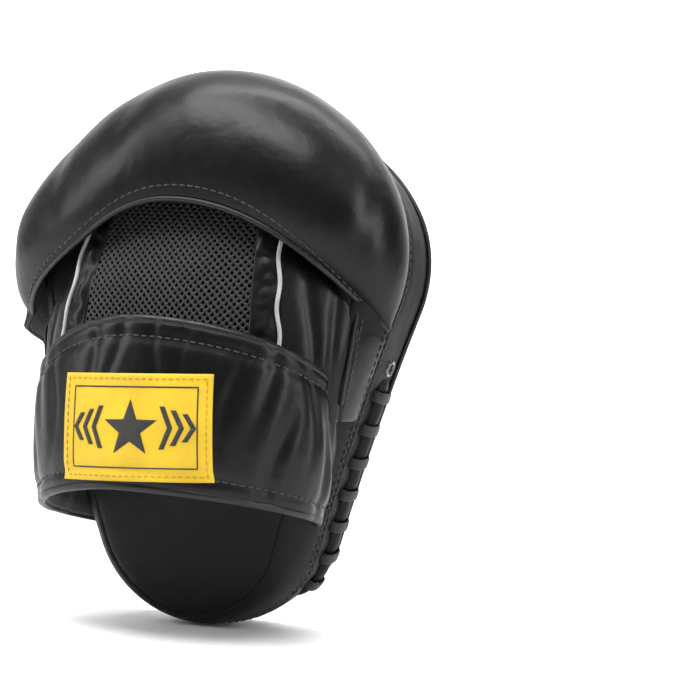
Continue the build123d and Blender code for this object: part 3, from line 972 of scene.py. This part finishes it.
def cuffAt(x, z, lift):
    # Point of the label on the cuff's outside, lifted off it; the label is sewn on slightly
    # tilted
    x, z = x + label["shift"] - label["tilt"] * (z - label["centre"]), z + label["tilt"] * x
    turn = 0.0
    out = 0.0
    half = mix(cuff["halfLow"], cuff["halfHigh"], (z - cuff["low"]) / (cuff["high"] - cuff["low"]))
    for _ in range(3):
        turn = math.asin(x / (half + out))
        low, high = cuffHeights(turn)
        v = (z - low) / (high - low)
        out = cuffOut(turn / cuffEnd(v), v)
    flare = cuff["lean"] * (z - cuff["leanHeight"]) * math.cos(turn)
    return place(x, cuff["centreY"] + flare - (cuff["deep"] + out) * math.cos(turn), z) + Vector(
        (math.sin(turn), -math.cos(turn), 0)) * lift


def makeLabel():
    rows = []
    for i in range(37):
        z = label["centre"] + label["halfHigh"] * (i / 18 - 1)
        rows.append([cuffAt(label["half"] * (j / 30 - 1), z, label["lift"] + label["thick"])
                     for j in range(61)])
    piece = gridPiece("labelPatch", rows, labelCloth, place(0, cuff["centreY"], 0.11))
    return thicken(piece, label["thick"])


def labelLine(inset, lift):
    # Closed run round the label at this inset
    corners = [(-1, -1), (1, -1), (1, 1), (-1, 1)]
    points = []
    for k in range(4):
        (ax, az), (bx, bz) = corners[k], corners[(k + 1) % 4]
        for step in range(40):
            t = step / 40
            x = mix(ax, bx, t) * (label["half"] - inset)
            z = label["centre"] + mix(az, bz, t) * (label["halfHigh"] - inset)
            points.append(cuffAt(x, z, lift))
    normals = [(p - place(0, cuff["centreY"] + 0.02, p.z - shiftZ)).normalized() for p in points]
    return points, normals


def printShapes(name, shapes, onSurface, material, depth, inside):
    # Flat printed shapes, cut fine enough to lie on a curved surface
    bm = bmesh.new()
    for outline in shapes:
        bm.faces.new([bm.verts.new((x, 0, z)) for x, z in outline])
    for axis, reach in (((1, 0, 0), 0.04), ((0, 0, 1), 0.04)):
        for k in range(-13, 14):
            cut = Vector(axis) * (reach * k / 13)
            bmesh.ops.bisect_plane(bm, geom=bm.verts[:] + bm.edges[:] + bm.faces[:], plane_co=cut,
                                   plane_no=axis)
    bmesh.ops.triangulate(bm, faces=bm.faces)
    verts = [onSurface(v.co.x, v.co.z) for v in bm.verts]
    bm.verts.index_update()
    faces = [tuple(v.index for v in f.verts) for f in bm.faces]
    bm.free()
    uvs = [(v.x, v.z) for v in verts]
    return thicken(addPiece(name, verts, faces, material, inside, uvs), depth)


def starShape(x, z, outer, inner):
    shape = []
    for k in range(10):
        radius = outer if k % 2 == 0 else inner
        turn = math.pi / 2 + math.pi * k / 5
        shape.append((x + radius * math.cos(turn), z + radius * math.sin(turn)))
    return shape


def chevron(x, half, high, wide, way):
    return [(x, -high), (x + way * wide, -high), (x + way * (wide + half), 0), (x + way * wide, high),
            (x, high),
            (x + way * half, 0)]


labelPatch = makeLabel()
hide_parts("label_patch")
labelMarks = [starShape(0, -0.0008, 0.0138, 0.0056)]
for side in (-1, 1):
    for k in range(3):
        labelMarks.append(chevron(side * (0.0140 + 0.0052 * k), 0.0038, 0.0098 - 0.0017 * k, 0.0024,
                                  side))
labelMark = printShapes("labelMark", labelMarks,
                        lambda x, z: cuffAt(x, label["centre"] + z, label["lift"] + label["thick"]
                                            + 0.00016),
                        labelInk, 0.00014, place(0, cuff["centreY"], 0.11))
framePoints, frameNormals = labelLine(label["frame"], label["lift"] + label["thick"] + 0.0001)
labelFrame = tube("labelFrame", framePoints, frameNormals, label["frameWide"] / 2, 0.0002, labelInk,
                  "label",
                  closed=True, sides=6)
threadPoints, threadNormals = labelLine(label["border"], label["lift"] + label["thick"] + 0.0001)
labelThread = stitches("labelStitches", [(threadPoints + threadPoints[:1], threadNormals
                                          + threadNormals[:1])],
                       goldThread, 0.8)
cuffPieces = [cuffShell, cuffLining, cuffTop, cuffBottom, cuffThread, labelPatch, labelMark, labelFrame,
              labelThread]
for piece in cuffPieces:
    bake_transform(piece)
print("cuff made")


# hand sleeve

sleeve = {"centreY": -0.008, "rings": ((0.104, 0.074, 0.060), (0.150, 0.090, 0.052), (0.214, 0.077,
        0.031)),
          "low": 0.106, "high": 0.214, "hole": 0.0026, "open": 0.355}


def through(values, z):
    # Smooth curve through three (height, value) pairs
    total = 0.0
    for i, (zi, value) in enumerate(values):
        term = value
        for k, (zk, _) in enumerate(values):
            if k != i:
                term *= (z - zk) / (zi - zk)
        total += term
    return total


def sleevePoint(x, z, out=0.0):
    half = through([(ring[0], ring[1]) for ring in sleeve["rings"]], z) + out
    deep = through([(ring[0], ring[2]) for ring in sleeve["rings"]], z) + out
    return place(x, sleeve["centreY"] - deep * math.sqrt(max(0.0, 1 - (x / half) ** 2)), z)


def meshHalf(z):
    return mix(0.0465, 0.0415, (z - 0.136) / 0.054)


def pipingX(z):
    return mix(0.0585, 0.0515, (z - 0.136) / 0.054)


def sag(point):
    return Vector((0, 0.0013 * ripple(point, 0.03, 12.0), 0))


def makeMeshPanel():
    # Spacer mesh: square cells set on their corners, each with a round hole
    cell = sleeve["hole"]
    reach = 34
    index, verts, faces = {}, [], []

    def corner(i, j):
        key = (round(i * 1000), round(j * 1000))
        if key not in index:
            x, z = (i - j) * cell / math.sqrt(2), sleeve["low"] + 0.054 + (i + j) * cell / math.sqrt(2)
            index[key] = len(verts)
            point = sleevePoint(x, z)
            verts.append(point + sag(point))
        return index[key]

    for i in range(-reach, reach):
        for j in range(-reach, reach):
            x, z = (i - j) * cell / math.sqrt(2), sleeve["low"] + 0.054 + (i + j
                    + 1) * cell / math.sqrt(2)
            if abs(x) > meshHalf(z) + 0.001 or z < sleeve["low"] or z > sleeve["high"]:
                continue
            outer = [(i, j), (i + 0.5, j), (i + 1, j), (i + 1, j + 0.5), (i + 1, j + 1),
                     (i + 0.5, j + 1), (i, j + 1), (i, j + 0.5)]
            ring = [corner(a, b) for a, b in outer]
            hole = []
            for a, b in outer:
                da, db = a - i - 0.5, b - j - 0.5
                size = math.hypot(da, db)
                hole.append(corner(i + 0.5 + da / size * sleeve["open"], j + 0.5 + db / size
                                   * sleeve["open"]))
            for k in range(8):
                faces.append((ring[k], ring[(k + 1) % 8], hole[(k + 1) % 8], hole[k]))
    piece = addPiece("sleeveMesh", verts, faces, meshKnit, place(0, 0.0, 0.15))
    return thicken(piece, 0.0009)


def makeMeshBacking():
    # Backing sheet under the mesh: a real layer, whose darker colour is painted shade seen through the
    # holes
    rows = []
    for i in range(41):
        z = mix(sleeve["low"], sleeve["high"], i / 40)
        row = []
        for j in range(61):
            point = sleevePoint((meshHalf(z) + 0.001) * (j / 30 - 1), z, -0.0022)
            row.append(point + sag(point))
        rows.append(row)
    return thicken(gridPiece("sleeveBacking", rows, meshBackingPaintedShade, place(0, 0.0, 0.15)), 0.0006)


def crumple(point, depth, seed):
    # Irregular creases: folded noise with sharp valleys
    fold = abs(ripple(point, 0.013, seed)) + 0.5 * abs(ripple(point, 0.007, seed + 5))
    return depth * (fold - 0.35)


def makeStrip(side, name, node):
    rows = []
    for i in range(73):
        z = mix(sleeve["low"], sleeve["high"], i / 72)
        row = []
        for j in range(17):
            t = j / 16
            x = mix(meshHalf(z) - 0.0016, pipingX(z), t)
            point = sleevePoint(side * x, z, 0.0012 * math.sin(math.pi * t) + 0.0004)
            row.append(point + Vector((0, -1, 0)) * crumple(point, 0.0034 * math.sin(math.pi * t), 20.0
                                                            + side))
        rows.append(row)
    piece = thicken(gridPiece(name, rows, glossLeather, place(0, 0.0, 0.15)), 0.0009)
    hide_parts(node)
    return piece


def makePiping(side, name, node):
    points, normals = [], []
    for j in range(121):
        z = mix(sleeve["low"] + 0.004, sleeve["high"] - 0.004, j / 120)
        wobble = 0.0006 * math.sin(z * 260 + side)
        points.append(sleevePoint(side * (pipingX(z) + wobble), z, 0.0010))
        normals.append(Vector((0.3 * side, -1, 0)).normalized())
    piece = tube(name, points, normals, 0.00105, 0.00105, greyPiping, "piping", sides=12)
    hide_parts(node)
    return piece


def panelPoint(side, q, z, extra=0.0):
    # Side panel: q is 0 at the piping and 1 at the pad's rear seam
    start = sleevePoint(side * pipingX(z), z)
    s = outlineAtHeight(z)
    end = padPoint(flank(s, side), 0.0030, 0.0006)
    control = start.lerp(end, 0.58) + Vector((side * 0.74, -0.67, 0)) * mix(0.0125, 0.0035,
            smooth((z - 0.13) / 0.05))
    point = start * (1 - q) ** 2 + control * (2 * q * (1 - q)) + end * q ** 2
    outward = Vector((side * 0.75, -0.66, 0))
    height = point.z - shiftZ
    hemHeight = hood["hemCentre"] + math.sqrt(max(0.0, hood["hemRadius"] ** 2 - point.x ** 2))
    if side < 0:
        hemHeight -= hood["leftDrop"] * smooth((abs(point.x) - 0.02) / 0.07)
    tuck = 0.0035 * smooth((height - hemHeight + 0.009) / 0.009) + 0.010 * smooth((height - hemHeight)
            / 0.022)
    return point + outward * (extra * math.sin(math.pi * min(1.0, max(0.0, q))) - tuck * smooth(q / 0.1))


def makeSidePanel(side, name, node):
    low, high = 0.108, 0.200
    rows = []
    for i in range(65):
        z = mix(low, high, i / 64)
        row = []
        for j in range(49):
            q = j / 48
            point = panelPoint(side, q, z, 0.0008)
            fold = 0.0016 * bell(q - 0.22 - 0.05 * math.sin(60 * z), 0.05) + 0.0012 * bell(q - 0.42, 0.05)
            fold += 0.0012 * bell(q - 0.6, 0.02)
            lump = 0.0010 * ripple(point, 0.022, 15.0 + side)
            row.append(point + Vector((side * 0.7, -0.7, 0)) * ((lump - fold) * math.sin(math.pi * q)))
        rows.append(row)
    piece = thicken(gridPiece(name, rows, glossLeather, place(0, 0.0, 0.15)), 0.0011)
    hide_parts(node)
    return piece


def panelRun(side, q, low=0.114, high=0.192, lift=0.0008):
    points, normals = [], []
    for j in range(101):
        z = mix(low, high, j / 100)
        points.append(panelPoint(side, q, z, 0.0008) + Vector((side * 0.7, -0.7, 0)) * lift)
        normals.append(Vector((side * 0.75, -0.66, 0)).normalized())
    return points, normals


sleeveMesh = makeMeshPanel()
sleeveBacking = makeMeshBacking()
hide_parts("sleeve_mesh")
sleevePieces = [sleeveMesh, sleeveBacking]
for side, word in ((-1, "left"), (1, "right")):
    sleevePieces.append(makeStrip(side, "sleeveStrip" + word.title(), "sleeve_strip_" + word))
    sleevePieces.append(makePiping(side, "sleevePiping" + word.title(), "sleeve_piping_" + word))
    sleevePieces.append(makeSidePanel(side, "sidePanel" + word.title(), "side_panel_" + word))
for side in (-1, 1):
    weltPoints, weltNormals = panelRun(side, 0.60, 0.116, 0.186, 0.0006)
    sleevePieces.append(tube("panelWelt" + ("Left" if side < 0 else "Right"), weltPoints, weltNormals,
                             0.0010, 0.0009,
                             bindingVinyl, "binding"))
sleevePieces.append(stitches("sleeveStitches", [panelRun(-1, 0.66), panelRun(1, 0.66)], blackThread))
for piece in sleevePieces:
    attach(piece, "mitt")
print("sleeve made")


# inside the hand space

ball = {"radius": 0.028, "rise": 0.0148, "height": 0.098}


def makeBall():
    rows = []
    for i in range(22):
        turn = math.pi / 2 * i / 21.5
        row = []
        for j in range(72):
            around = 2 * math.pi * j / 72
            reach = ball["radius"] * math.cos(turn)
            x, z = reach * math.cos(around), reach * math.sin(around)
            point = bent(x, ball["height"] + z, pad["half"] + 0.0005 + ball["rise"] * math.sin(turn))
            seamDip = 0.0008 * bell(math.sin(2 * around), 0.08)
            row.append(point + Vector((0, seamDip, 0)))
        rows.append(row)
    piece = gridPiece("palmBall", rows, glossLeather, place(0, 0.0, ball["height"]),
                      closedU=True, fan=True)
    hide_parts("palm_ball_cover", "palm_ball_core")
    thicken(piece, 0.0012)
    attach(piece, "mitt")


straps = {"finger_strap": {"x": 0.0, "height": 0.168, "span": 0.092, "rise": 0.0165, "width": 0.024,
                           "thick": 0.0020},
          "thumb_loop": {"x": 0.048, "height": 0.118, "span": 0.034, "rise": 0.0212, "width": 0.020,
                         "thick": 0.0018}}


def makeStrap(node, name):
    # Webbing that arches off the back panel, with both ends sewn into it
    size = straps[node]
    points, across = [], []
    for k in range(49):
        turn = math.pi * (1.08 * k / 48 - 0.04)
        x = size["x"] + (size["span"] / 2 - size["thick"] / 2) * math.cos(turn)
        point = place(x, -pad["half"] - size["rise"] * math.sin(turn), size["height"])
        wrinkle = Vector((0, 0.0004 * ripple(point, 0.012, 30.0), 0))
        points.append(point + wrinkle)
        across.append(Vector((0, 0, 1)))
    piece = ribbon(name, points, across, size["width"], size["thick"], liningCloth)
    fine = piece.modifiers.new("rounded", "SUBSURF")
    fine.levels = 1
    fine.render_levels = 1
    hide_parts(node)
    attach(piece, "mitt")


makeBall()
makeStrap("finger_strap", "fingerStrap")
makeStrap("thumb_loop", "thumbLoop")
print("hand space made")


# printed target on the face

def ringShape(radius, width, count=64):
    shapes = []
    for k in range(count):
        a, b = 2 * math.pi * k / count, 2 * math.pi * (k + 1) / count
        shapes.append([(radius * math.cos(a), radius * math.sin(a)), ((radius + width) * math.cos(a),
                                                                      (radius + width) * math.sin(a)),
                       ((radius + width) * math.cos(b), (radius + width) * math.sin(b)),
                       (radius * math.cos(b), radius * math.sin(b))])
    return shapes


target = {"centre": 0.150, "ring": 0.030, "ringWide": 0.0040, "dot": 0.0095}


def onFace(x, z, lift=0.00045):
    return bent(x, target["centre"] + z, face["edge"] - face["puff"] - lift)


dotShape = [(target["dot"] * math.cos(2 * math.pi * k / 48), target["dot"] * math.sin(2 * math.pi * k
        / 48)) for k in range(48)]
faceTarget = printShapes("faceTarget", ringShape(target["ring"], target["ringWide"]) + [dotShape],
                         onFace, whitePrint,
                         0.0002, inPad)
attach(faceTarget, "mitt")


# floor, light, camera

def stageMaterial():
    material, nodes, links, shader, coords = startMaterial("paleFloor")
    cloud = noiseNode(nodes, links, coords.outputs["Object"], 3.0, 3.0)
    links.new(colourNode(nodes, links, cloud, (0.86, 0.86, 0.865), (0.90, 0.90, 0.905)),
              shader.inputs["Base Color"])
    shader.inputs["Roughness"].default_value = 0.55
    return material


def makeStage():
    profile = [(-3.4, 0.0), (1.2, 0.0)]
    for k in range(1, 13):
        turn = math.pi / 2 * k / 12
        profile.append((1.2 + 0.8 * math.sin(turn), 0.8 - 0.8 * math.cos(turn)))
    profile.append((2.0, 3.2))
    rows = [[Vector((x, y, z)) for x in (-3.5, 0.0, 3.5)] for y, z in profile]
    verts = [p for row in rows for p in row]
    faces = [(3 * i + j, 3 * i + j + 1, 3 * i + j + 4, 3 * i + j + 3) for i in range(len(rows) - 1)
             for j in range(2)]
    mesh = bpy.data.meshes.new("studioFloor")
    mesh.from_pydata([tuple(v) for v in verts], [], faces)
    for polygon in mesh.polygons:
        polygon.use_smooth = True
    mesh.materials.append(stageMaterial())
    floor = bpy.data.objects.new("studioFloor", mesh)
    floor.rotation_euler = (0, 0, math.radians(25))
    bpy.context.scene.collection.objects.link(floor)


def addLight(name, place3, target3, size, power):
    data = bpy.data.lights.new(name, "AREA")
    data.shape = "RECTANGLE"
    data.size, data.size_y = size
    data.energy = power
    light = bpy.data.objects.new(name, data)
    light.location = place3
    light.rotation_euler = (Vector(target3) - Vector(place3)).to_track_quat("-Z", "Y").to_euler()
    bpy.context.scene.collection.objects.link(light)


makeStage()
addLight("topBox", (-0.1, -0.45, 1.15), (0, 0, 0.18), (1.1, 0.5), 17)
addLight("leftBox", (-1.25, -0.75, 0.75), (0, 0, 0.16), (0.45, 1.1), 12)
addLight("rightBox", (1.35, -0.25, 0.65), (0, 0, 0.15), (0.35, 1.1), 11)
addLight("backdropBox", (0.3, 0.75, 1.9), (-0.4, 1.9, 0.6), (2.8, 0.6), 90)
world = bpy.data.worlds.new("studio")
world.use_nodes = True
world.node_tree.nodes["Background"].inputs["Color"].default_value = (0.96, 0.97, 1.0, 1)
world.node_tree.nodes["Background"].inputs["Strength"].default_value = 0.10
bpy.context.scene.world = world
bpy.context.scene.view_settings.view_transform = "Standard"

view = {"azimuth": 24.0, "elevation": 1.0, "distance": 1.25, "roll": 3.4, "frameWidth": 0.3435,
        "right": 0.0655, "aimHeight": 0.1410}


def makeCamera():
    data = bpy.data.cameras.new("camera")
    data.sensor_width = 36.0
    data.lens = 36.0 * view["distance"] / view["frameWidth"]
    camera = bpy.data.objects.new("camera", data)
    azimuth, elevation = math.radians(view["azimuth"]), math.radians(view["elevation"])
    back = Vector((math.sin(azimuth) * math.cos(elevation), -math.cos(azimuth) * math.cos(elevation),
                   math.sin(elevation)))
    right = Vector((math.cos(azimuth), math.sin(azimuth), 0))
    aim = place(0, 0, view["aimHeight"]) + right * view["right"]
    camera.location = aim + back * view["distance"]
    turn = (-back).to_track_quat("-Z", "Y")
    camera.rotation_euler = turn.to_euler()
    camera.rotation_euler.rotate_axis("Z", math.radians(view["roll"]))
    bpy.context.scene.collection.objects.link(camera)
    bpy.context.scene.camera = camera


makeCamera()
